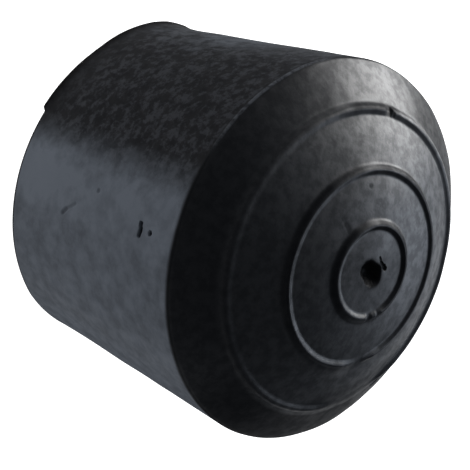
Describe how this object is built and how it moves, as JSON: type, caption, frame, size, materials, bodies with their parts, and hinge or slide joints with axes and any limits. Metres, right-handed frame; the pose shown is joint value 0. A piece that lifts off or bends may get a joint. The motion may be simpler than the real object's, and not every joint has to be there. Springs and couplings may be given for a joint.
{
  "type": "rubber end cap",
  "caption": "Round black rubber end cap with a tapered wall, a blind bore that pushes onto a tube, and a domed sole with raised concentric rings.",
  "frame": {"origin": "centre of the open mouth, in the plane that the cap stands on", "axes": "+Z along the cap's axis, from the mouth to the domed sole"},
  "size_m": [0.04, 0.04, 0.0356],
  "materials": {
    "rubber": "matt moulded rubber with dust and scuffs"
  },
  "bodies": {
    "root": {"cap_body": "rubber"}
  },
  "joints": []
}
